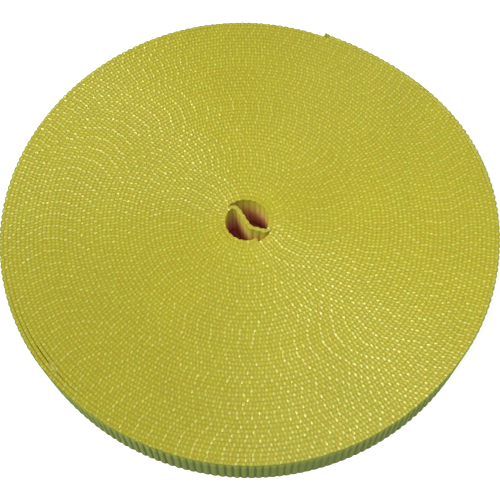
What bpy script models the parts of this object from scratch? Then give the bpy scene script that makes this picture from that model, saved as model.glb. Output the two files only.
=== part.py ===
"""A roll of woven webbing, lying flat on its side.

One long flat strip is wound on itself from a small open eye outwards, so every turn stands on
edge and the two round faces of the roll are the strip's selvedges.  The strip's inner end
crosses the eye in a bent S.  The roll is modelled as consecutive lengths of that one strip, divided
where the strip moves: nested groups of turns that slide along the roll's axis, and the last
stretch of the outer turn, which peels away in short hinged lengths.

Metres, +Z up along the roll's axis.  The origin is the middle of the resting face.
"""
import math

import bpy

# The strip
STRIP_WIDTH = 0.015
STRIP_THICKNESS = 0.001425
CLEARANCE = 0.0003

# The winding, from the eye to the outer end
EYE_RADIUS = 0.0075
FULL_TURNS = 52
OUTER_END_ANGLE = math.radians(70.0)
INNER_END_ANGLE = math.radians(298.0)

# The crossing: from the inner lap it runs straight through the eye's middle, turns at a corner,
# and runs nearly level into the first turn
CROSSING_ANGLE = math.radians(-59.0)
EXIT_ANGLE = math.radians(-16.0)
CORNER_DISTANCE = 0.00276
CORNER_BEND = 0.0021
LAP_BEND = 0.0021
EXIT_BEND = 0.0015
LAP_JOIN_TURN = -0.546

# How far the winding is from a true spiral: the eye is off centre, one side of the rim is flat,
# and the rim has low lobes, each set given by its number, height and first crest's angle
RIM_SHIFT = (-0.00046, 0.00053)
EYE_SHIFT = (-0.00095, -0.00065)
FLAT_ANGLE = math.radians(57.0)
FLAT_SPREAD = math.radians(24.0)
FLAT_DEPTH = 0.0017
RIM_LOBES = ((3, 0.00013, math.radians(11.0)), (4, 0.00027, math.radians(10.0)))

# Groups of turns that slide on each other, as the number of turns below each boundary
GROUP_STARTS = (0, 8, 17, 26, 35, 44)

# The outer end: hinged lengths of the last turn, and the melted tips
PEEL_LENGTHS = 6
PEEL_STEP = math.radians(10.0)
SEAL_LENGTH = 0.0018
SEAL_BEAD = 0.0006

# Smoothness
POINTS_PER_TURN_INSIDE = 72
POINTS_PER_TURN_OUTSIDE = 120

WEBBING_COLOUR = (0.52, 0.48, 0.035, 1.0)
SEAL_COLOUR = (0.30, 0.33, 0.05, 1.0)

FULL_CIRCLE = 2.0 * math.pi


def lane_radius(turn):
    """Radius of the strip's centre line, so many turns after the first one starts."""
    return EYE_RADIUS + STRIP_THICKNESS * (0.5 + turn)


def bend_along(lane, bend, aside):
    """How far along a straight its last bend is centred, to end tangent to a round lane.

    The straight passes the eye's middle at the distance aside, and the bend is on that side.
    """
    return math.sqrt((lane - bend) ** 2 - (bend - aside) ** 2)


# The crossing meets the inner lap at LAP_ANGLE and the first turn at START_ANGLE.
CORNER_ANGLE = EXIT_ANGLE - CROSSING_ANGLE
EXIT_ASIDE = CORNER_DISTANCE * math.sin(CORNER_ANGLE)
EXIT_ALONG = bend_along(lane_radius(0.0), EXIT_BEND, EXIT_ASIDE)
LAP_ALONG = bend_along(lane_radius(LAP_JOIN_TURN), LAP_BEND, 0.0)
START_ANGLE = EXIT_ANGLE + math.atan2(EXIT_BEND - EXIT_ASIDE, EXIT_ALONG)
LAP_ANGLE = CROSSING_ANGLE + math.pi + math.atan2(LAP_BEND, LAP_ALONG)
TURNS = FULL_TURNS + (OUTER_END_ANGLE - START_ANGLE) / FULL_CIRCLE
RIM_RADIUS = lane_radius(TURNS) + STRIP_THICKNESS / 2.0
PEEL_START = TURNS - PEEL_LENGTHS * PEEL_STEP / FULL_CIRCLE


def settle(x, y):
    """Move a point of the true spiral to where the real winding has it."""
    radius = math.hypot(x, y)
    share = radius / RIM_RADIUS
    angle = math.atan2(y, x)
    away = math.atan2(math.sin(angle - FLAT_ANGLE), math.cos(angle - FLAT_ANGLE))
    push = -FLAT_DEPTH * math.exp(-((away / FLAT_SPREAD) ** 2))
    push += sum(height * math.cos(number * (angle - crest)) for number, height, crest in RIM_LOBES)
    scale = (radius + push * share ** 4) / radius if radius > 0.0 else 1.0
    return (
        x * scale + RIM_SHIFT[0] + EYE_SHIFT[0] * (1.0 - share),
        y * scale + RIM_SHIFT[1] + EYE_SHIFT[1] * (1.0 - share),
    )


def on_turn(turn, offset):
    """A point of the winding, with an offset outwards from the strip's centre line."""
    angle = START_ANGLE + FULL_CIRCLE * turn
    radius = lane_radius(turn) + offset
    return settle(radius * math.cos(angle), radius * math.sin(angle))


def steps(start, end, count):
    return [start + (end - start) * i / count for i in range(count + 1)]


def loop_of_turn(first_turn, offset, count):
    """One whole turn of the spiral, which closes on itself with a step of one thickness."""
    return [on_turn(turn, offset) for turn in steps(first_turn, first_turn + 1.0, count)]


def strip_outline(path, inward, outward):
    """Outline of a strip along (x, y, normal angle) points, before it is settled."""
    outer = []
    inner = []
    for x, y, normal in path:
        outer.append(settle(x + outward * math.cos(normal), y + outward * math.sin(normal)))
        inner.append(settle(x - inward * math.cos(normal), y - inward * math.sin(normal)))
    return outer + inner[::-1]


def arc_path(centre, radius, start, end, count):
    """Points on a round bend, with normals pointing away from its centre."""
    return [
        (centre[0] + radius * math.cos(a), centre[1] + radius * math.sin(a), a)
        for a in steps(start, end, count)
    ]


def lap_path(start, end, count):
    """The inner lap: the strip's inner end, lying inside the first turn, one lane in."""
    path = []
    for angle in steps(start, end, count):
        radius = lane_radius((angle - START_ANGLE) / FULL_CIRCLE - 1.0)
        path.append((radius * math.cos(angle), radius * math.sin(angle), angle))
    return path


def beside(angle, along, left):
    """The point so far along a direction from the eye's middle, and so far to its left."""
    return (
        along * math.cos(angle) - left * math.sin(angle),
        along * math.sin(angle) + left * math.cos(angle),
    )


def crossing_path(count):
    """The bent S through the eye, from the inner lap to the first turn."""
    quarter = math.pi / 2.0
    lap_centre = beside(CROSSING_ANGLE, -LAP_ALONG, -LAP_BEND)
    corner_along = CORNER_DISTANCE - CORNER_BEND * math.tan(CORNER_ANGLE / 2.0)
    corner_centre = beside(CROSSING_ANGLE, corner_along, CORNER_BEND)
    exit_centre = beside(EXIT_ANGLE, EXIT_ALONG, EXIT_BEND - EXIT_ASIDE)
    path = arc_path(lap_centre, LAP_BEND, LAP_ANGLE, CROSSING_ANGLE + quarter, count)
    left_bends = arc_path(
        corner_centre, CORNER_BEND, CROSSING_ANGLE - quarter, EXIT_ANGLE - quarter, count
    )
    left_bends += arc_path(exit_centre, EXIT_BEND, EXIT_ANGLE - quarter, START_ANGLE, count)
    # Normals stay on the same side of the strip all the way along the S.
    path += [(x, y, normal + math.pi) for x, y, normal in left_bends]
    return path


def add_material(name, colour, roughness):
    material = bpy.data.materials.new(name)
    material.use_nodes = True
    shader = material.node_tree.nodes["Principled BSDF"]
    shader.inputs["Base Color"].default_value = colour
    shader.inputs["Roughness"].default_value = roughness
    shader.inputs["Metallic"].default_value = 0.0
    material.diffuse_color = colour
    return material


def add_flat_piece(name, outlines, colour, roughness, origin=(0.0, 0.0), parent=None):
    """A flat outline, drawn in world X and Y, as thick as the strip is wide."""
    curve = bpy.data.curves.new(name, "CURVE")
    curve.dimensions = "2D"
    curve.fill_mode = "BOTH"
    curve.extrude = STRIP_WIDTH / 2.0
    for outline in outlines:
        spline = curve.splines.new("POLY")
        spline.points.add(len(outline) - 1)
        for point, (x, y) in zip(spline.points, outline):
            point.co = (x - origin[0], y - origin[1], 0.0, 1.0)
        spline.use_cyclic_u = True
        spline.use_smooth = True
    piece = bpy.data.objects.new(name, curve)
    curve.materials.append(add_material(name, colour, roughness))
    roll.objects.link(piece)
    if parent is None:
        piece.location = (origin[0], origin[1], STRIP_WIDTH / 2.0)
    else:
        piece.parent = parent
        base = parent.get("axis_point", (0.0, 0.0))
        piece.location = (origin[0] - base[0], origin[1] - base[1], 0.0)
    piece["axis_point"] = (origin[0], origin[1])
    return piece


for old in list(bpy.data.objects):
    bpy.data.objects.remove(old, do_unlink=True)
roll = bpy.data.collections.new("webbing_roll")
bpy.context.scene.collection.children.link(roll)

half = STRIP_THICKNESS / 2.0

# The nested groups of turns.  Each is a ring whose inside and outside are one turn of the spiral.
group_ends = GROUP_STARTS[1:] + (PEEL_START,)
groups = []
for first_turn, last_turn in zip(GROUP_STARTS, group_ends):
    share = lane_radius(last_turn) / RIM_RADIUS
    density = POINTS_PER_TURN_OUTSIDE - POINTS_PER_TURN_INSIDE
    count = POINTS_PER_TURN_INSIDE + int(round(density * share))
    start_gap = CLEARANCE / lane_radius(first_turn) / FULL_CIRCLE
    outside = loop_of_turn(last_turn - 1.0, half, count)
    inside = loop_of_turn(first_turn + start_gap, -half + CLEARANCE, count)
    name = "turns_%02d_to_%02d" % (first_turn + 1, math.ceil(last_turn))
    groups.append((name, [outside, inside]))

# The outermost group is the one that the others are held in.
holder = None
for name, outlines in reversed(groups):
    holder = add_flat_piece(name, outlines, WEBBING_COLOUR, 0.6, parent=holder)
    if name == groups[-1][0]:
        outer_group = holder
inner_group = holder

# The inner end: the S across the eye, the lap inside the first turn, and its melted tip.
crossing = crossing_path(10)
add_flat_piece(
    "eye_crossing", [strip_outline(crossing, half, half)], WEBBING_COLOUR, 0.6, parent=inner_group
)
lap_gap = CLEARANCE / lane_radius(LAP_JOIN_TURN)
seal_angle = SEAL_LENGTH / lane_radius(-0.1)
lap = lap_path(LAP_ANGLE + lap_gap, INNER_END_ANGLE - seal_angle - lap_gap, 24)
add_flat_piece(
    "eye_lap", [strip_outline(lap, half, half)], WEBBING_COLOUR, 0.6, parent=inner_group
)
tip = lap_path(INNER_END_ANGLE - seal_angle, INNER_END_ANGLE, 4)
add_flat_piece(
    "inner_sealed_tip", [strip_outline(tip, half, half)], SEAL_COLOUR, 0.4, parent=inner_group
)

# The outer end peels off in short lengths, each hinged on the one before it.
previous = outer_group
seal_turns = SEAL_LENGTH / lane_radius(TURNS) / FULL_CIRCLE
joint_gap = CLEARANCE / lane_radius(TURNS) / FULL_CIRCLE
for number in range(PEEL_LENGTHS):
    start = PEEL_START + number * PEEL_STEP / FULL_CIRCLE
    end = start + PEEL_STEP / FULL_CIRCLE
    if number == PEEL_LENGTHS - 1:
        end = TURNS - seal_turns - joint_gap
    along = steps(start + joint_gap, end, 6)
    outline = [on_turn(turn, half) for turn in along]
    outline += [on_turn(turn, -half + CLEARANCE) for turn in reversed(along)]
    hinge = on_turn(start + joint_gap / 2.0, 0.0)
    previous = add_flat_piece(
        "peel_%d" % (number + 1), [outline], WEBBING_COLOUR, 0.6, origin=hinge, parent=previous
    )

# The melted tip stands a little proud of the turn as a rounded bead.
tip_turns = steps(TURNS - seal_turns, TURNS, 6)
bead = []
for i, turn in enumerate(tip_turns):
    bead.append(on_turn(turn, half + SEAL_BEAD * math.sin(math.pi * i / 6.0)))
bead += [on_turn(turn, -half + CLEARANCE) for turn in reversed(tip_turns)]
add_flat_piece("outer_sealed_tip", [bead], SEAL_COLOUR, 0.4, parent=previous)
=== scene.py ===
"""Looks for the roll of woven webbing: one long strip, wound flat on itself from a small eye.

The whole strip is sampled once, along its length, four times for each woven loop on its edges.
Every piece below is a stretch of that one sampling, so neighbouring pieces meet exactly.
Lengths are metres, in the frame's own coordinates.
"""
import math

import bmesh
import bpy
import numpy as np
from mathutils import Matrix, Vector


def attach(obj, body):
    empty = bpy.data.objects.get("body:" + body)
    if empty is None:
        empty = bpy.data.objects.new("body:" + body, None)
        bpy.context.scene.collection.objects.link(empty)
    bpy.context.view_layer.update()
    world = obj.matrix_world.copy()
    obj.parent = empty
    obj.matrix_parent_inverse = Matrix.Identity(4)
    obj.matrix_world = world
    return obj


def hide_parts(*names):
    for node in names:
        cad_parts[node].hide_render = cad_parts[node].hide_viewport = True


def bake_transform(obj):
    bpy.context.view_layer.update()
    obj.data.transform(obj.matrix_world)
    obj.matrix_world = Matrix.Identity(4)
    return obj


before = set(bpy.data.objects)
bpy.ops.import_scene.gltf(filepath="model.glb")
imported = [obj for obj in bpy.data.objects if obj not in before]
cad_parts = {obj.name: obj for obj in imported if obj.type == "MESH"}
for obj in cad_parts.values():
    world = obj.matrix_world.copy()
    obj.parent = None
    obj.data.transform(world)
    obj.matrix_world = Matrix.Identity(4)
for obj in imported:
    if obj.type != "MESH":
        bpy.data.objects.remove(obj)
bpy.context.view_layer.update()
bpy.context.scene.view_settings.view_transform = "Standard"

# ---- The strip and its winding: the same driving dimensions as the CAD part ----
STRIP_WIDTH = 0.015
STRIP_THICKNESS = 0.001425
EYE_RADIUS = 0.0075
FULL_TURNS = 52
OUTER_END_ANGLE = math.radians(70.0)
INNER_END_ANGLE = math.radians(298.0)
CROSSING_ANGLE = math.radians(-59.0)
EXIT_ANGLE = math.radians(-16.0)
CORNER_DISTANCE = 0.00276
CORNER_BEND = 0.0021
LAP_BEND = 0.0021
EXIT_BEND = 0.0015
LAP_JOIN_TURN = -0.546
RIM_SHIFT = np.array((-0.00046, 0.00053))
EYE_SHIFT = np.array((-0.00095, -0.00065))
FLAT_ANGLE = math.radians(57.0)
FLAT_SPREAD = math.radians(24.0)
FLAT_DEPTH = 0.0017
RIM_LOBES = ((3, 0.00013, math.radians(11.0)), (4, 0.00027, math.radians(10.0)))
GROUP_STARTS = (8, 17, 26, 35, 44)
PEEL_LENGTHS = 6
PEEL_STEP = math.radians(10.0)
SEAL_LENGTH = 0.0018
SEAL_BEAD = 0.0006

# ---- The weave ----
LOOP_PITCH = 0.00114  # one woven loop on the edge
SAMPLES_PER_LOOP = 4
RING_STEP = LOOP_PITCH / SAMPLES_PER_LOOP
RIB_LOOPS = 2  # one cross rib on the faces is two loops long
TURN_GAP = 0.000001  # between neighbouring turns
LOOSE_GAP = 0.00011  # the outer turn stands off the next one along one side
LOOSE_ANGLE = math.radians(213.0)
LOOSE_SPREAD = math.radians(15.0)
LEANS = (  # where the turns lean out: middle and spread in radians, and half the lean in metres
    (math.radians(216.0), math.radians(18.0), 0.00045),
    (math.radians(331.0), math.radians(13.0), 0.00035),
)
RAMP = 0.25  # turns either side of a group boundary over which the strip climbs
LONGEST_PIECE = 3.0  # metres of strip in one mesh
LOWEST = 0.00002  # clear of the floor

# The faces: cross ribs, and yarns running along the strip
BURIED_RIB = 0.000004  # of a face that is never seen
WALL_LESS = 0.000070  # how much thinner than its lane the strip is, midway up a free rib
WALL_RIB = 0.000150  # how far a free rib's crest stands above that
EYE_RIB_LESS = 0.4  # how much flatter the ribs are in the eye
COVERED_RIB = 0.2  # share of a free rib that a face lying against its neighbour keeps
CORNER_PROUD = 0.00012  # the most that a rib may stand out at the strip's corners
WALL_MARGIN = 0.00050  # between a corner and the face's first row
CORNER_RIB = 0.35  # share of a rib that is left at the corners
FOOT_SHADE = 0.3  # share of the face's tone that is left at its foot, as painted contact shade
YARNS_ACROSS = 13
ROWS_PER_YARN = 3
WALL_ROWS = YARNS_ACROSS * ROWS_PER_YARN
YARN_BUMP = 0.000030
YARN_TWIST = 0.000035  # a rib's crest shifts to and fro from yarn to yarn
ROLLED_SHARE = 0.25  # down to this share of the face it has a little of the edge's colour
ROLLED_TONE = 0.22
BOTTOM_DROP = 0.00008  # the bottom corners are rounded off by this
BOTTOM_LOOP = 0.0003

# The edges: one loop after another, each a low ridge across the edge, its crown painted pale as a
# highlight
ACROSS = np.array((-1.0, -0.55, 0.0, 0.55, 1.0))  # the edge's five rows, as shares of its half
RIM_TONE = (0.0, 0.0, 0.08, 0.55, 0.95)  # how far each row of the rim's edge has the face's colour
RIM_GREEN = 0.8
EYE_SHINE_LESS = 0.8  # how much weaker the crowns' painted highlight is at the eye
RIDGE_HALF = 0.80  # how far a loop's ridge reaches to each side, in halves of the edge
RIDGE_FOOT = 0.28  # share of the loop's height that its ridge keeps all the way across
SHINE_SHARPNESS = 3.0  # the crown's painted highlight is this much narrower than the ridge, as a power
LOOP_RISE = 0.00029  # how far a full loop's crown stands above the rest of the edge
LOOP_SHARPNESS = 1.9  # of a weak loop; a full one is broader
LOOP_STRENGTHS = np.array((1.15, 0.5, 0.8, 0.5))  # the weave repeats after four loops
LOOP_LEAN = 0.2  # standard deviations of each loop's lean, other shape, level and slant
LOOP_UNEVEN = 0.12
LOOP_LEVEL = 0.00003
LOOP_SLANT = 0.25

# The melted tips
TIP_SAMPLES = 12  # rings along a tip
TIP_ROWS = 30  # points down each of its sides
TIP_TOP = 6  # points across its top
TIP_CLEAR = 0.00001

FULL_CIRCLE = 2.0 * math.pi
TOP = STRIP_WIDTH


def lane_radius(turn):
    """Distance of the strip's centre line from the eye's middle, after that many turns."""
    return EYE_RADIUS + STRIP_THICKNESS * (0.5 + turn)


def bend_along(lane, bend, aside):
    """How far along a straight its last bend is centred, to end tangent to a round lane."""
    return math.sqrt((lane - bend) ** 2 - (bend - aside) ** 2)


CORNER_ANGLE = EXIT_ANGLE - CROSSING_ANGLE
EXIT_ASIDE = CORNER_DISTANCE * math.sin(CORNER_ANGLE)
EXIT_ALONG = bend_along(lane_radius(0.0), EXIT_BEND, EXIT_ASIDE)
LAP_ALONG = bend_along(lane_radius(LAP_JOIN_TURN), LAP_BEND, 0.0)
START_ANGLE = EXIT_ANGLE + math.atan2(EXIT_BEND - EXIT_ASIDE, EXIT_ALONG)
LAP_ANGLE = CROSSING_ANGLE + math.pi + math.atan2(LAP_BEND, LAP_ALONG)
TURNS = FULL_TURNS + (OUTER_END_ANGLE - START_ANGLE) / FULL_CIRCLE
RIM_RADIUS = lane_radius(TURNS) + STRIP_THICKNESS / 2.0
PEEL_START = TURNS - PEEL_LENGTHS * PEEL_STEP / FULL_CIRCLE
LAP_TURN = (LAP_ANGLE - START_ANGLE) / FULL_CIRCLE - 1.0
LAP_END_TURN = (INNER_END_ANGLE - START_ANGLE) / FULL_CIRCLE - 1.0
SEAL_TURNS = SEAL_LENGTH / lane_radius(TURNS) / FULL_CIRCLE


def length_at(turn):
    """Length of strip from the winding's start to that many turns."""
    return FULL_CIRCLE * lane_radius(0.0) * turn + math.pi * STRIP_THICKNESS * turn * turn


def turn_at(length):
    """The inverse of length_at."""
    first = lane_radius(0.0)
    root = np.sqrt(first * first + STRIP_THICKNESS * length / math.pi)
    return (root - first) / STRIP_THICKNESS


def settle(points):
    """Move points of the true spiral to where the real winding has them."""
    radius = np.hypot(points[:, 0], points[:, 1])
    share = radius / RIM_RADIUS
    angle = np.arctan2(points[:, 1], points[:, 0])
    away = np.arctan2(np.sin(angle - FLAT_ANGLE), np.cos(angle - FLAT_ANGLE))
    push = -FLAT_DEPTH * np.exp(-((away / FLAT_SPREAD) ** 2))
    for number, height, crest_angle in RIM_LOBES:
        push += height * np.cos(number * (angle - crest_angle))
    scale = 1.0 + push * share ** 4 / np.maximum(radius, 1e-9)
    return points * scale[:, None] + RIM_SHIFT + EYE_SHIFT * (1.0 - share)[:, None]


# ---- The centre line by length, from the inner end (negative) to the outer end ----
def beside(angle, along, left):
    """The point so far along a direction from the eye's middle, and so far to its left."""
    cos, sin = math.cos(angle), math.sin(angle)
    return np.array((along * cos - left * sin, along * sin + left * cos))


def on_arc(centre, radius, start, way):
    """A bend as a function of length, from an angle about its centre, way +1 or -1 round it."""
    def points(length):
        angle = start + way * length / radius
        return centre + radius * np.stack((np.cos(angle), np.sin(angle)), 1)
    return points


def on_line(start, direction):
    """A straight as a function of length, from a point in a direction."""
    step = np.array((math.cos(direction), math.sin(direction)))
    return lambda length: start + np.outer(length, step)


QUARTER = math.pi / 2.0
CORNER_CUT = CORNER_BEND * math.tan(CORNER_ANGLE / 2.0)
CORNER_BEFORE = CORNER_DISTANCE - CORNER_CUT
CORNER_AFTER = CORNER_DISTANCE * math.cos(CORNER_ANGLE) + CORNER_CUT
# From the first turn backwards to the inner lap: each stretch's length and its points.
CROSSING = (
    (
        EXIT_BEND * (START_ANGLE - EXIT_ANGLE + QUARTER),
        on_arc(beside(EXIT_ANGLE, EXIT_ALONG, EXIT_BEND - EXIT_ASIDE), EXIT_BEND, START_ANGLE, -1),
    ),
    (
        EXIT_ALONG - CORNER_AFTER,
        on_line(beside(EXIT_ANGLE, EXIT_ALONG, -EXIT_ASIDE), EXIT_ANGLE + math.pi),
    ),
    (
        CORNER_BEND * CORNER_ANGLE,
        on_arc(
            beside(CROSSING_ANGLE, CORNER_BEFORE, CORNER_BEND), CORNER_BEND,
            EXIT_ANGLE - QUARTER, -1,
        ),
    ),
    (
        CORNER_BEFORE + LAP_ALONG,
        on_line(beside(CROSSING_ANGLE, CORNER_BEFORE, 0.0), CROSSING_ANGLE + math.pi),
    ),
    (
        LAP_BEND * (LAP_ANGLE - CROSSING_ANGLE - QUARTER),
        on_arc(
            beside(CROSSING_ANGLE, -LAP_ALONG, -LAP_BEND), LAP_BEND,
            CROSSING_ANGLE + QUARTER, 1,
        ),
    ),
)
CROSSING_LENGTH = sum(length for length, points in CROSSING)


def on_spiral(turn):
    """Points of the winding's centre line, at numbers of turns from its start."""
    angle = START_ANGLE + FULL_CIRCLE * turn
    radius = lane_radius(turn)
    return np.stack((radius * np.cos(angle), radius * np.sin(angle)), 1)


def unsettled(length):
    """Centre line points of the true spiral, crossing and inner lap, at lengths along it."""
    points = np.zeros((len(length), 2))
    wound = length >= 0.0
    points[wound] = on_spiral(turn_at(length[wound]))
    back = -length
    done = 0.0
    for stretch_length, stretch_points in CROSSING:
        here = (back > done) & (back <= done + stretch_length)
        points[here] = stretch_points(back[here] - done)
        done += stretch_length
    lap = back > CROSSING_LENGTH
    points[lap] = on_spiral(turn_at(length_at(LAP_TURN) + back[lap] - CROSSING_LENGTH))
    return points


LAP_LENGTH = length_at(LAP_END_TURN) - length_at(LAP_TURN)
INNER_END = -(CROSSING_LENGTH + LAP_LENGTH)
OUTER_END = length_at(TURNS)
FIRST = math.ceil(INNER_END / RING_STEP)
LAST = math.floor(OUTER_END / RING_STEP)

noise = np.random.default_rng(20240611)


def wander(count, spacing, size):
    """Slow random variation: smooth between random values a number of samples apart."""
    knots = noise.normal(0.0, size, count // spacing + 4)
    place = np.arange(count) / spacing
    whole = place.astype(int)
    part = place - whole
    part = part * part * (3.0 - 2.0 * part)
    return knots[whole] * (1.0 - part) + knots[whole + 1] * part


index = np.arange(FIRST, LAST + 1)
ring_count = len(index)
stretch = wander(ring_count, 90, 0.00030) + wander(ring_count, 17, 0.00006)
# The strip's two ends stay put.
ends = np.minimum(index - FIRST, LAST - index) / 200.0
lengths = index * RING_STEP + stretch * np.clip(ends, 0.0, 1.0)
centre = settle(unsettled(lengths))
tangent = np.gradient(centre, axis=0)
tangent /= np.linalg.norm(tangent, axis=1)[:, None]
normal = np.stack((tangent[:, 1], -tangent[:, 0]), 1)

# Neighbouring turns lie closer where the roll is pressed flat, so the strip is thinner there.
base = unsettled(lengths)
base_tangent = np.gradient(base, axis=0)
base_tangent /= np.linalg.norm(base_tangent, axis=1)[:, None]
base_normal = np.stack((base_tangent[:, 1], -base_tangent[:, 0]), 1)
spread = settle(base + base_normal * STRIP_THICKNESS / 2.0) - settle(
    base - base_normal * STRIP_THICKNESS / 2.0
)
lane_half = np.linalg.norm(spread, axis=1) / 2.0 - TURN_GAP / 2.0
# Next to the rim the strip is a little slimmer where the outer turn stands off it.
from_loose = np.arctan2(base[:, 1], base[:, 0]) - LOOSE_ANGLE
from_loose = np.arctan2(np.sin(from_loose), np.cos(from_loose))
turn_of = turn_at(np.maximum(lengths, 0.0))
loose = (turn_of > TURNS - 2.6) & (turn_of < TURNS - 1.1)
lane_half = lane_half - LOOSE_GAP * loose * np.exp(-((from_loose / LOOSE_SPREAD) ** 2))

# Each loop has its own fullness, level, place and slant; the whole edge wanders up and down.
loop = (index + SAMPLES_PER_LOOP // 2) // SAMPLES_PER_LOOP
loop_total = loop[-1] - loop[0] + 1
loop_of = loop - loop[0]
crest = 0.5 + 0.5 * np.cos(index * FULL_CIRCLE / SAMPLES_PER_LOOP)
loop_lean = noise.normal(0.0, LOOP_LEAN, loop_total)[loop_of]
loop_full = 1.0 + noise.normal(0.0, LOOP_UNEVEN, loop_total)[loop_of]
loop_full *= LOOP_STRENGTHS[loop % len(LOOP_STRENGTHS)]
loop_level = noise.normal(0.0, LOOP_LEVEL, loop_total)[loop_of]
loop_middle = noise.normal(0.0, LOOP_UNEVEN, loop_total)[loop_of]
loop_half = RIDGE_HALF * np.exp(noise.normal(0.0, LOOP_UNEVEN, loop_total))[loop_of]
loop_slant = np.clip(noise.normal(0.25, LOOP_SLANT, loop_total), -1.0, 1.0)[loop_of]
edge_wave = wander(ring_count, 60, 0.000008)
bottom_wave = wander(ring_count, 80, 0.00004)
rib_phase = (index / (SAMPLES_PER_LOOP * RIB_LOOPS)) * FULL_CIRCLE
rib = 0.9 * np.cos(rib_phase) - 0.3 * np.cos(2.0 * rib_phase)
rib_full = np.clip(1.0 + wander(ring_count, 45, 0.3), 0.45, 1.3)

# The turns don't stand quite square: at the left and right they lean out, most at the rim.
around = np.arctan2(centre[:, 1], centre[:, 0])
lean_out = np.zeros(ring_count)
for lean_place, lean_spread, lean_size in LEANS:
    apart = np.angle(np.exp(1j * (around - lean_place))) / lean_spread
    lean_out += lean_size * np.exp(-(apart ** 2))
lean_out *= np.linalg.norm(centre, axis=1) / np.linalg.norm(centre[-1])


def top_edge(rows, half):
    """Heights, offsets and painted crown highlight shares of the edge's five rows, for the given
    samples.
    """
    slanted = index[rows][:, None] - loop_slant[rows][:, None] * ACROSS
    crests = 0.5 + 0.5 * np.cos(slanted * FULL_CIRCLE / SAMPLES_PER_LOOP)
    full = loop_full[rows][:, None]
    loops = crests ** (LOOP_SHARPNESS - 0.6 * np.clip(full, 0.0, 1.0)) * full
    aside = (ACROSS - loop_middle[rows][:, None]) / loop_half[rows][:, None]
    crown = np.exp(-(aside ** 2))
    ridge = RIDGE_FOOT + (1.0 - RIDGE_FOOT) * crown
    level = (edge_wave + crest * loop_level)[rows][:, None] * (1.0 - np.abs(ACROSS))
    height = LOOP_RISE * (loops * ridge - 1.0) + level
    lean = loop_lean[rows][:, None] * (1.0 - np.abs(ACROSS))
    return height, (ACROSS + 0.8 * lean) * half[:, None], loops * crown ** SHINE_SHARPNESS


def ring_points(rows, outer_rows, inner_rows, outer_free, inner_free, eye, edge_tone):
    """Rings of points round the strip's section, and what each point is for the material.

    A ring has the top edge's five points, the outer face, three points of the bottom edge and
    the inner face.  The crest value is how far a point is up a loop or rib, which the material
    paints as highlight on crowns and as shade in grooves, and the edge value is its share of the
    edge's colour against the face's.
    """
    n = len(rows)
    ribs = rib[rows]
    edge_half = lane_half[rows]
    buried = edge_half - BURIED_RIB * (1.0 - ribs)
    free = edge_half - WALL_LESS + WALL_RIB * rib_full[rows] * ribs * (1.0 - EYE_RIB_LESS * eye)
    outer_half = buried + (free - buried) * outer_free
    inner_half = buried + (free - buried) * inner_free
    outer_corner = np.minimum(outer_half, edge_half + CORNER_PROUD)
    inner_corner = -np.minimum(inner_half, edge_half + CORNER_PROUD)
    height, offset, shine = top_edge(rows, edge_half)
    columns = []
    bare = np.clip((outer_free - COVERED_RIB) / (1.0 - COVERED_RIB), 0.0, 1.0) * (1.0 - eye)

    def column(side, z, crest_value, edge_value):
        columns.append((side, z, crest_value, edge_value))

    ones = np.ones(n)
    sides = [inner_corner, offset[:, 1], offset[:, 2], offset[:, 3], outer_corner]
    for j, side in enumerate(sides):
        outermost = bare * RIM_TONE[j]
        # A painted highlight on each loop's crown, weaker in the eye; the rim's outermost rows
        # take the face's green instead
        crown_highlight_and_rim = np.maximum(shine[:, j] * (1.0 - EYE_SHINE_LESS * eye), RIM_GREEN * outermost)
        column(side, TOP + height[:, j], crown_highlight_and_rim, ones * edge_tone - outermost)

    def wall(sign, half, count):
        for k in range(count):
            share = (k + 1.0) / (count + 1.0)
            if sign < 0:
                share = 1.0 - share
            low = 1.0 - share
            rolled = ROLLED_TONE * max(0.0, 1.0 - share / ROLLED_SHARE) * edge_tone
            z = TOP - WALL_MARGIN - share * (STRIP_WIDTH - 2.0 * WALL_MARGIN)
            strand = math.cos(FULL_CIRCLE * (share * YARNS_ACROSS))
            number = int(share * YARNS_ACROSS)
            twist = 0.5 * math.cos(math.pi * number)
            bumps = YARN_BUMP * strand + YARN_TWIST * twist * np.cos(rib_phase[rows] + QUARTER)
            end = min(1.0, 8.0 * min(share, low) + CORNER_RIB)
            side = edge_half + (half - edge_half) * end + bumps
            # Painted shade: paler on the ribs' crests and on each yarn, darker in the grooves
            # between
            shade = 0.5 + 0.4 * ribs * rib_full[rows] + 0.1 * strand
            # Painted contact shade: darker at the face's foot
            shade *= min(1.0, 12.0 * low + FOOT_SHADE)
            column(sign * side, np.full(n, z), shade, ones * rolled)

    if outer_rows:
        wall(1.0, outer_half, outer_rows)
    crests = crest[rows]
    bottom = (1.0 - crests) * BOTTOM_LOOP + np.abs(bottom_wave[rows])
    corner = BOTTOM_DROP * ones
    # At a free face the bottom corners take the face's darkest tone, painted contact shade
    column(outer_corner, corner, crests * 0.5 * (1.0 - outer_free), ones - 0.9 * outer_free)
    column(0.0 * ones, bottom, crests, ones)
    column(inner_corner, corner, crests * 0.5 * (1.0 - inner_free), ones - 0.9 * inner_free)
    if inner_rows:
        wall(-1.0, inner_half, inner_rows)

    k = len(columns)
    points = np.zeros((n, k, 3))
    crest_values = np.zeros((n, k))
    edge_values = np.zeros((n, k))
    for j, (side, z, crest_value, edge_value) in enumerate(columns):
        leaning = side + lean_out[rows] * (2.0 * z / TOP - 1.0)
        points[:, j, 0:2] = centre[rows] + normal[rows] * leaning[:, None]
        points[:, j, 2] = np.maximum(z, LOWEST)
        crest_values[:, j] = crest_value
        edge_values[:, j] = edge_value
    return points, crest_values, edge_values


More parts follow.
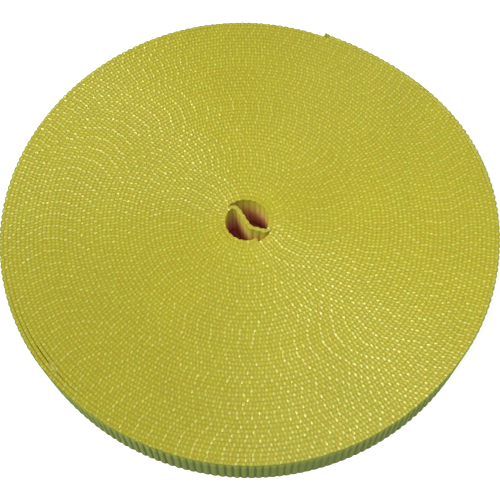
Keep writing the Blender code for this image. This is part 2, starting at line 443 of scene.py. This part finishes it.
def strip_piece(name, start, end, material, outer_rows=0, inner_rows=0,
                outer_free=0.0, inner_free=0.0, eye=0.0, edge_tone=1.0):
    """A closed mesh of the strip between two lengths, both rounded to the nearest sample.

    A free side has its full ribs.  Either free value may be a function of length, from 0 to 1.
    The corners are sharp in the eye.  Elsewhere they are shaded round beside a free outer face
    and beside an inner face with rows.
    """
    a = max(int(round(start / RING_STEP)), FIRST) - FIRST
    b = min(int(round(end / RING_STEP)), LAST) - FIRST
    rows = np.arange(a, b + 1)
    if callable(inner_free):
        inner_free = inner_free(lengths[rows])
    if callable(outer_free):
        outer_free = outer_free(lengths[rows])
    points, crests, edges = ring_points(
        rows, outer_rows, inner_rows, outer_free, inner_free, eye, edge_tone
    )
    n, k = crests.shape
    i = np.arange(n - 1)[:, None]
    j = np.arange(k)[None, :]
    following = (j + 1) % k
    quads = np.stack(
        (i * k + j, i * k + following, (i + 1) * k + following, (i + 1) * k + j), axis=-1
    ).reshape(-1, 4)
    loops = np.concatenate(
        (quads.reshape(-1), np.arange(k)[::-1], (n - 1) * k + np.arange(k))
    )
    sizes = np.concatenate((np.full(len(quads), 4), (k, k)))
    starts = np.concatenate(((0,), np.cumsum(sizes)[:-1]))
    mesh = bpy.data.meshes.new(name)
    mesh.vertices.add(n * k)
    mesh.vertices.foreach_set("co", points.reshape(-1))
    mesh.loops.add(len(loops))
    mesh.loops.foreach_set("vertex_index", loops.astype(np.int32))
    mesh.polygons.add(len(sizes))
    mesh.polygons.foreach_set("loop_start", starts.astype(np.int32))
    mesh.polygons.foreach_set("loop_total", sizes.astype(np.int32))
    smooth = np.ones(len(sizes), bool)
    smooth[-2:] = False
    mesh.polygons.foreach_set("use_smooth", smooth)
    mesh.update(calc_edges=True)
    outer_corners = [4, 5 + outer_rows]
    inner_corners = [0, 7 + outer_rows]
    rounded = outer_rows and np.max(outer_free) > 0.0 and not eye
    corners = [] if rounded else outer_corners
    if eye or not inner_rows:
        corners = corners + inner_corners
    ends_of = np.zeros(len(mesh.edges) * 2, np.int32)
    mesh.edges.foreach_get("vertices", ends_of)
    ends_of = ends_of.reshape(-1, 2) % k
    sharp = (ends_of[:, 0] == ends_of[:, 1]) & np.isin(ends_of[:, 0], corners)
    mesh.attributes.new("sharp_edge", "BOOLEAN", "EDGE").data.foreach_set("value", sharp)
    for label, values in (("crest", crests), ("edge", edges), ("eye", np.full(n * k, eye))):
        layer = mesh.attributes.new(label, "FLOAT", "POINT")
        layer.data.foreach_set("value", np.asarray(values, np.float32).reshape(-1))
    for each in material:
        mesh.materials.append(each)
    # The first slot is the edges' material, the second the faces'.
    face_side = (np.arange(k) >= (3 if rounded else 4)) & (np.arange(k) < 5 + outer_rows)
    face_side |= np.arange(k) >= 7 + outer_rows
    slots = np.concatenate((np.tile(face_side.astype(np.int32), n - 1), (0, 0))).astype(np.int32)
    mesh.polygons.foreach_set("material_index", slots)
    mesh.validate()
    piece = bpy.data.objects.new(name, mesh)
    bpy.context.scene.collection.objects.link(piece)
    return piece


# ---- Materials ----
def node(tree, kind, **values):
    """A new node with its properties set."""
    made = tree.nodes.new(kind)
    for key, value in values.items():
        setattr(made, key, value)
    return made


def attribute(tree, name):
    """A mesh attribute's value."""
    return node(tree, "ShaderNodeAttribute", attribute_name=name).outputs["Fac"]


def ramp(tree, source, stops):
    """The colour between (place, colour) stops, at a source's value."""
    made = node(tree, "ShaderNodeValToRGB")
    elements = made.color_ramp.elements
    while len(elements) > 1:
        elements.remove(elements[-1])
    elements[0].position = stops[0][0]
    elements[0].color = (*stops[0][1], 1.0)
    for place, colour in stops[1:]:
        elements.new(place).color = (*colour, 1.0)
    tree.links.new(source, made.inputs["Fac"])
    return made.outputs["Color"]


def feed(tree, socket, value):
    """Link a socket to another node's output, or set it to a constant."""
    if hasattr(value, "is_linked"):
        tree.links.new(value, socket)
    else:
        socket.default_value = value


def mix(tree, factor, a, b, blend="MIX"):
    """Two colours mixed, or blended in another way."""
    made = node(tree, "ShaderNodeMix", data_type="RGBA", blend_type=blend)
    feed(tree, made.inputs["Factor"], factor)
    feed(tree, made.inputs["A"], a)
    feed(tree, made.inputs["B"], b)
    return made.outputs["Result"]


def scaled(tree, value, factor):
    """A value times a factor, kept between 0 and 1."""
    made = node(tree, "ShaderNodeMath", operation="MULTIPLY", use_clamp=True)
    feed(tree, made.inputs[0], value)
    feed(tree, made.inputs[1], factor)
    return made.outputs["Value"]


def cloudy(tree, place, scale, detail, roughness=0.5):
    """Noise of the given scale over a place, from about 0.3 to 0.7."""
    made = node(tree, "ShaderNodeTexNoise")
    made.inputs["Scale"].default_value = scale
    made.inputs["Detail"].default_value = detail
    made.inputs["Roughness"].default_value = roughness
    tree.links.new(place, made.inputs["Vector"])
    return made.outputs["Fac"]


def rough_surface(tree, shader, height, strength, distance):
    """Bump from a height, given to the shader."""
    bump = node(tree, "ShaderNodeBump")
    bump.inputs["Strength"].default_value = strength
    bump.inputs["Distance"].default_value = distance
    tree.links.new(height, bump.inputs["Height"])
    tree.links.new(bump.outputs["Normal"], shader.inputs["Normal"])


def webbing_material(name, roughness, specular, anisotropy):
    """Woven yarn, coloured by the mesh's crest, edge and eye values, with painted highlights,
    shade and bounce light.
    """
    material = bpy.data.materials.new(name)
    material.use_nodes = True
    tree = material.node_tree
    shader = tree.nodes["Principled BSDF"]
    crest_value = attribute(tree, "crest")
    edge_value = attribute(tree, "edge")
    eye_value = attribute(tree, "eye")
    place = node(tree, "ShaderNodeTexCoord").outputs["Object"]
    # The edge's colour: pale on each loop's crown, a painted highlight, and a little darker
    # between loops, painted shade
    edge_colour_and_highlight = ramp(tree, crest_value, (
        (0.0, (0.42, 0.365, 0.009)), (0.15, (0.435, 0.415, 0.012)), (0.45, (0.52, 0.525, 0.045)),
        (1.0, (0.59, 0.59, 0.12)),
    ))
    # The faces' colour: a greener weave, made darker than the edges' partly as painted shade of
    # the upright sides; paler on rib crests and darker in grooves, painted shade
    face_colour_and_shade = ramp(tree, crest_value, (
        (0.0, (0.078, 0.078, 0.006)), (0.45, (0.110, 0.150, 0.018)), (1.0, (0.145, 0.215, 0.035)),
    ))
    # Deep in the eye the walls' colour is painted bounce light and shade, as where the walls light
    # each other: it goes from yellow through brown to maroon.
    height = node(tree, "ShaderNodeSeparateXYZ")
    tree.links.new(place, height.inputs["Vector"])
    share_up = scaled(tree, height.outputs["Z"], 1.0 / STRIP_WIDTH)
    painted_depth_light = ramp(tree, share_up, (
        (0.0, (0.62, 0.13, 0.11)), (0.3, (0.70, 0.30, 0.14)), (0.6, (0.68, 0.48, 0.11)),
        (0.85, (0.58, 0.52, 0.06)), (1.0, (0.42, 0.41, 0.035)),
    ))
    # Painted shade: the eye's grooves between loops and ribs are darker
    painted_groove_shade = ramp(tree, crest_value, ((0.0, (0.84, 0.78, 0.80)), (0.6, (1.0, 1.0, 1.0))))
    eye_painted_light_and_shade = mix(tree, 1.0, painted_depth_light, painted_groove_shade, "MULTIPLY")
    face_colour_and_shade = mix(tree, eye_value, face_colour_and_shade, eye_painted_light_and_shade)
    colour = mix(tree, edge_value, face_colour_and_shade, edge_colour_and_highlight)
    # Broad clouds, single yarns, and patches a loop across that are a little greener or more ochre
    for scale, detail, roughness_of_noise, stops in (
        (55.0, 3.0, 0.5, ((0.3, (0.95, 0.95, 0.9)), (0.7, (1.0, 1.0, 1.0)))),
        (1500.0, 3.0, 0.6, (
            (0.32, (0.86, 0.82, 0.70)), (0.5, (0.97, 0.96, 0.92)), (0.68, (1.0, 1.0, 1.0)),
        )),
        (900.0, 2.0, 0.5, (
            (0.36, (0.93, 1.0, 0.90)), (0.5, (0.99, 0.985, 1.0)), (0.64, (1.0, 0.93, 0.90)),
        )),
    ):
        tone = ramp(tree, cloudy(tree, place, scale, detail, roughness_of_noise), stops)
        colour = mix(tree, 1.0, colour, tone, "MULTIPLY")
    tree.links.new(colour, shader.inputs["Base Color"])
    shader.inputs["Specular Tint"].default_value = (1.0, 1.0, 0.72, 1.0)
    shader.inputs["Roughness"].default_value = roughness
    shader.inputs["Metallic"].default_value = 0.0
    shader.inputs["IOR"].default_value = 1.5
    shader.inputs["Specular IOR Level"].default_value = specular
    shader.inputs["Anisotropic"].default_value = anisotropy
    round_axis = node(tree, "ShaderNodeTangent", direction_type="RADIAL", axis="Z")
    tree.links.new(round_axis.outputs["Tangent"], shader.inputs["Tangent"])
    shader.inputs["Subsurface Weight"].default_value = 0.6
    shader.inputs["Subsurface Radius"].default_value = (1.0, 0.9, 0.3)
    shader.inputs["Subsurface Scale"].default_value = 0.0015
    # Single fibres, much finer than a yarn
    rough_surface(tree, shader, cloudy(tree, place, 6000.0, 2.0), 0.25, 0.00006)
    return material


def melted_material():
    """Melted yarn: smooth, a little darker and glossier than the weave, with cloudy streaks."""
    material = bpy.data.materials.new("melted_tip")
    material.use_nodes = True
    tree = material.node_tree
    shader = tree.nodes["Principled BSDF"]
    place = node(tree, "ShaderNodeTexCoord").outputs["Object"]
    cloud = cloudy(tree, place, 1400.0, 4.0)
    colour = ramp(tree, cloud, (
        (0.3, (0.12, 0.15, 0.015)), (0.5, (0.24, 0.26, 0.02)), (0.7, (0.42, 0.41, 0.03)),
    ))
    tree.links.new(colour, shader.inputs["Base Color"])
    shader.inputs["Roughness"].default_value = 0.35
    shader.inputs["Metallic"].default_value = 0.0
    shader.inputs["Subsurface Weight"].default_value = 0.4
    shader.inputs["Subsurface Radius"].default_value = (1.0, 0.9, 0.3)
    shader.inputs["Subsurface Scale"].default_value = 0.001
    rough_surface(tree, shader, cloud, 0.4, 0.0001)
    return material


webbing = (
    webbing_material("webbing_edge", roughness=0.30, specular=1.0, anisotropy=0.8),
    webbing_material("webbing_face", roughness=0.7, specular=0.1, anisotropy=0.0),
)

# ---- The camera: at the height and tilt the roll is seen from ----
CAMERA_DISTANCE = 0.3329
CAMERA_HEIGHT_ANGLE = math.radians(62.33)
CAMERA_AXIS_ANGLE = math.radians(64.04)
camera_data = bpy.data.cameras.new("camera")
camera_data.sensor_width = 36.0
camera_data.lens = 72.0
camera_data.clip_start = 0.01
camera = bpy.data.objects.new("camera", camera_data)
bpy.context.scene.collection.objects.link(camera)
camera.location = (
    0.0,
    -CAMERA_DISTANCE * math.cos(CAMERA_HEIGHT_ANGLE),
    TOP + CAMERA_DISTANCE * math.sin(CAMERA_HEIGHT_ANGLE),
)
camera.rotation_euler = (math.pi / 2.0 - CAMERA_AXIS_ANGLE, 0.0, 0.0)
bpy.context.scene.camera = camera

# ---- The pieces ----
bodies = ("turns_a", "turns_b", "turns_c", "turns_d", "turns_e", "outer_turns")
nodes = (
    "turns_01_to_08", "turns_09_to_17", "turns_18_to_26",
    "turns_27_to_35", "turns_36_to_44", "turns_45_to_53",
)
WALL_START = PEEL_START - 1.0


def centre_at(turn):
    """Where the strip's centre line is, seen from above, after that many turns."""
    return settle(unsettled(np.array([length_at(turn)])))[0]


# The first turn, at the eye, is made apart from its group.
group_turns = (1.0,) + tuple(float(turn) for turn in GROUP_STARTS)
for g, (body, cad_node) in enumerate(zip(bodies, nodes)):
    last_group = g == len(bodies) - 1
    start = group_turns[g] + (RAMP if g else 0.0)
    end = WALL_START if last_group else group_turns[g + 1] - RAMP - 1.0
    parts = math.ceil((length_at(end) - length_at(start)) / LONGEST_PIECE)
    for p in range(parts):
        low = start + (end - start) * p / parts
        high = start + (end - start) * (p + 1) / parts
        label = cad_node if parts == 1 else "%s_%s" % (cad_node, "abc"[p])
        piece = strip_piece("webbing_" + label, length_at(low), length_at(high), webbing)
        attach(piece, body)
        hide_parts(cad_node)
    if not last_group:
        # The group's last turn and the climb to the next group show their faces when it lifts.
        low, high = group_turns[g + 1] - RAMP, group_turns[g + 1] + RAMP
        piece = strip_piece(
            "webbing_rim_" + "abcde"[g], length_at(end), length_at(low), webbing,
            outer_rows=WALL_ROWS,
        )
        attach(piece, body)
        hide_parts(cad_node)
        piece = strip_piece(
            "webbing_ramp_" + "abcde"[g], length_at(low), length_at(high), webbing,
            outer_rows=WALL_ROWS,
        )
        first, last = centre_at(low), centre_at(high)
        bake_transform(piece)
        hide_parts(cad_node, nodes[g + 1])


def clear_of_peel(length):
    """1 where the last turn but one is the rim, COVERED_RIB where the outer end lies on it."""
    after = np.clip((turn_at(length) - (TURNS - 1.0)) / 0.006, 0.0, 1.0)
    return COVERED_RIB + (1.0 - COVERED_RIB) * after


wall = strip_piece(
    "webbing_outer_wall", length_at(WALL_START), length_at(PEEL_START), webbing,
    outer_rows=WALL_ROWS, outer_free=clear_of_peel,
)
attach(wall, "outer_turns")
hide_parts("turns_45_to_53")

peel_turns = [PEEL_START + i * PEEL_STEP / FULL_CIRCLE for i in range(PEEL_LENGTHS)]
peel_turns.append(TURNS - SEAL_TURNS)
for i in range(PEEL_LENGTHS):
    low, high = peel_turns[i], peel_turns[i + 1]
    piece = strip_piece(
        "webbing_peel_%d" % (i + 1), length_at(low), length_at(high), webbing,
        outer_rows=WALL_ROWS, inner_rows=WALL_ROWS, outer_free=1.0, inner_free=COVERED_RIB,
    )
    first, last = centre_at(low), centre_at(high)
    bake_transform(piece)
    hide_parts("peel_%d" % (i + 1))


def clear_of_lap(length):
    """1 where the first turn faces the eye, 0 where the inner lap lies against it."""
    turn = turn_at(length)
    before = np.clip((LAP_TURN + 1.0 - turn) / 0.03, 0.0, 1.0)
    after = np.clip((turn - LAP_END_TURN - 1.0) / 0.01, 0.0, 1.0)
    return np.maximum(before, after)


first_turn = strip_piece(
    "webbing_eye_turn", 0.0, length_at(1.0), webbing,
    inner_rows=WALL_ROWS, inner_free=clear_of_lap, eye=1.0,
)
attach(first_turn, "turns_a")
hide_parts("turns_01_to_08")
crossing = strip_piece(
    "webbing_crossing", -CROSSING_LENGTH, 0.0, webbing,
    outer_rows=WALL_ROWS, inner_rows=WALL_ROWS, outer_free=1.0, inner_free=1.0, eye=1.0,
    edge_tone=0.35,
)
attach(crossing, "turns_a")
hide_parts("eye_crossing")
lap = strip_piece(
    "webbing_inner_lap", INNER_END + SEAL_LENGTH, -CROSSING_LENGTH, webbing,
    outer_rows=WALL_ROWS, outer_free=1.0, eye=1.0,
)
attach(lap, "turns_a")
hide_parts("eye_lap")


def lane_half_at(length):
    """Half the strip's thickness at a length."""
    return float(np.interp(length, lengths, lane_half))


def melted_tip(name, start, end, body, cad_node, bead, is_start, sunk, material):
    """The strip's heat-sealed end: its weave melts away into a smooth, slightly swollen lip.

    The lip swells by the bead on its outer side.  is_start is true where the tip is the strip's
    inner end and not its outer one, and sunk is how far its top lies below the edge's.
    """
    along = np.linspace(start, end, TIP_SAMPLES + 1)
    points = settle(unsettled(along))
    way = np.gradient(points, axis=0)
    way /= np.linalg.norm(way, axis=1)[:, None]
    side = np.stack((way[:, 1], -way[:, 0]), 1)
    share = np.linspace(0.0, 1.0, TIP_SAMPLES + 1)
    if is_start:
        share = share[::-1]
    mesh_points = []
    for i in range(TIP_SAMPLES + 1):
        swell = math.sin(math.pi * min(share[i] * 0.9 + 0.05, 1.0))
        shrink = 1.0 - 0.35 * max(0.0, share[i] - 0.75) / 0.25
        for k in range(4):
            count = TIP_ROWS if k in (1, 3) else TIP_TOP
            for j in range(count):
                t = j / count
                if k == 0:
                    across, z = -1.0 + 2.0 * t, TOP
                elif k == 1:
                    across, z = 1.0, TOP - STRIP_WIDTH * t
                elif k == 2:
                    across, z = 1.0 - 2.0 * t, 0.0
                else:
                    across, z = -1.0, STRIP_WIDTH * t
                lump = 0.5 + 0.25 * math.sin(z * 1900.0 + 5.0 * share[i])
                lump += 0.25 * math.sin(z * 3100.0 + 2.0)
                free = max(across, 0.0)
                reach = across * (lane_half_at(along[i]) - TIP_CLEAR) * shrink
                reach += free * bead * swell * lump * (0.35 if k == 2 else 1.0)
                dip = sunk + 0.00012 * (1.0 - swell) + 0.00008 * across * across
                x, y = points[i] + side[i] * reach
                mesh_points.append((x, y, z - dip if k == 0 else max(z, LOWEST)))
    ring = 2 * TIP_TOP + 2 * TIP_ROWS
    faces = []
    for i in range(TIP_SAMPLES):
        near, far = i * ring, (i + 1) * ring
        for j in range(ring):
            following = (j + 1) % ring
            faces.append((near + j, near + following, far + following, far + j))
    faces += [tuple(range(ring))[::-1], tuple(TIP_SAMPLES * ring + j for j in range(ring))]
    mesh = bpy.data.meshes.new(name)
    mesh.from_pydata(mesh_points, [], faces)
    mesh.update()
    solid = bmesh.new()
    solid.from_mesh(mesh)
    bmesh.ops.recalc_face_normals(solid, faces=solid.faces)
    solid.to_mesh(mesh)
    solid.free()
    mesh.shade_smooth()
    mesh.set_sharp_from_angle(angle=math.radians(50.0))
    mesh.materials.append(material)
    layer = mesh.attributes.new("edge", "FLOAT", "POINT")
    layer.data.foreach_set("value", np.ones(len(mesh_points), np.float32))
    tip = bpy.data.objects.new(name, mesh)
    bpy.context.scene.collection.objects.link(tip)
    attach(tip, body)
    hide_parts(cad_node)


melted_tip(
    "webbing_inner_tip", INNER_END, INNER_END + SEAL_LENGTH, "turns_a", "inner_sealed_tip",
    bead=0.00012, is_start=True, sunk=0.0002, material=webbing[0],
)
melted_tip(
    "webbing_outer_tip", length_at(TURNS - SEAL_TURNS), OUTER_END, "peel_f", "outer_sealed_tip",
    bead=SEAL_BEAD * 0.95, is_start=False, sunk=0.0, material=melted_material(),
)

# ---- Floor and light ----
FLOOR_HALF = 20.0
EYE_PLACE = RIM_SHIFT + EYE_SHIFT
floor_mesh = bpy.data.meshes.new("floor")
floor_mesh.from_pydata(
    [(x * FLOOR_HALF, y * FLOOR_HALF, 0.0) for x, y in ((-1, -1), (1, -1), (1, 1), (-1, 1))],
    [], [(0, 1, 2, 3)],
)
floor = bpy.data.objects.new("floor", floor_mesh)
bpy.context.scene.collection.objects.link(floor)
floor_material = bpy.data.materials.new("pale_floor")
floor_material.use_nodes = True
floor_tree = floor_material.node_tree
floor_shader = floor_tree.nodes["Principled BSDF"]
# Pale and a little self-lit, but for a dark maroon patch that shows only through the eye: painted
# shade, standing for light bounced many times between the yellow walls
floor_place = node(floor_tree, "ShaderNodeTexCoord").outputs["Object"]
eye_distance = node(floor_tree, "ShaderNodeVectorMath", operation="DISTANCE")
floor_tree.links.new(floor_place, eye_distance.inputs[0])
eye_distance.inputs[1].default_value = (*EYE_PLACE, 0.0)
far = scaled(floor_tree, eye_distance.outputs["Value"], 25.0)
pale_with_painted_shade = ramp(floor_tree, far, ((0.36, (0.20, 0.034, 0.030)), (0.44, (0.6, 0.6, 0.6))))
floor_tree.links.new(pale_with_painted_shade, floor_shader.inputs["Base Color"])
glow = ramp(floor_tree, far, ((0.36, (0.0, 0.0, 0.0)), (0.44, (1.0, 1.0, 1.0))))
floor_tree.links.new(glow, floor_shader.inputs["Emission Color"])
floor_shader.inputs["Roughness"].default_value = 0.9
floor_shader.inputs["Specular IOR Level"].default_value = 0.1
floor_shader.inputs["Emission Strength"].default_value = 0.68
floor_mesh.materials.append(floor_material)


def area_light(name, place, side, power):
    """A square soft light aimed at the origin."""
    data = bpy.data.lights.new(name, "AREA")
    data.shape = "SQUARE"
    data.size = side
    data.energy = power
    light = bpy.data.objects.new(name, data)
    bpy.context.scene.collection.objects.link(light)
    light.location = place
    x, y, z = place
    light.rotation_euler = (math.atan2(math.hypot(x, y), z), 0.0, math.atan2(x, -y))


def spot_light(name, place, target, cone_degrees, softness, power):
    """A narrow light with a soft rim, aimed at a point."""
    data = bpy.data.lights.new(name, "SPOT")
    data.energy = power
    data.spot_size = math.radians(cone_degrees)
    data.spot_blend = 1.0
    data.shadow_soft_size = softness
    light = bpy.data.objects.new(name, data)
    bpy.context.scene.collection.objects.link(light)
    light.location = place
    light.rotation_euler = (Vector(target) - Vector(place)).to_track_quat("-Z", "Y").to_euler()


world = bpy.data.worlds.new("studio")
world.use_nodes = True
background = world.node_tree.nodes["Background"]
background.inputs["Color"].default_value = (1.0, 1.0, 1.0, 1.0)
background.inputs["Strength"].default_value = 0.38
bpy.context.scene.world = world

# Two keys from the left give the loops their glints, and the sheens strengthen them in two places.
KEY_BACK = (-3.68, 0.10, 3.45)
area_light("key_back", KEY_BACK, side=1.2, power=88.0)
area_light("key_front", (-1.99, -1.69, 4.32), side=1.2, power=102.0)
area_light("right_fill", (3.6, 1.2, 3.2), side=3.0, power=54.0)
spot_light("eye_fill", (0.03, -0.203, 0.475), (*EYE_PLACE, TOP * 0.6), 2.7, 0.01, 3.5)
spot_light("sheen_back", KEY_BACK, (-0.038, 0.045, TOP), 2.0, 0.05, 310.0)
spot_light("sheen_front", (-2.42, -1.23, 4.25), (0.058, -0.026, TOP), 2.0, 0.05, 310.0)
area_light("front_fill", (1.0, -2.30, 4.2), side=2.4, power=22.0)
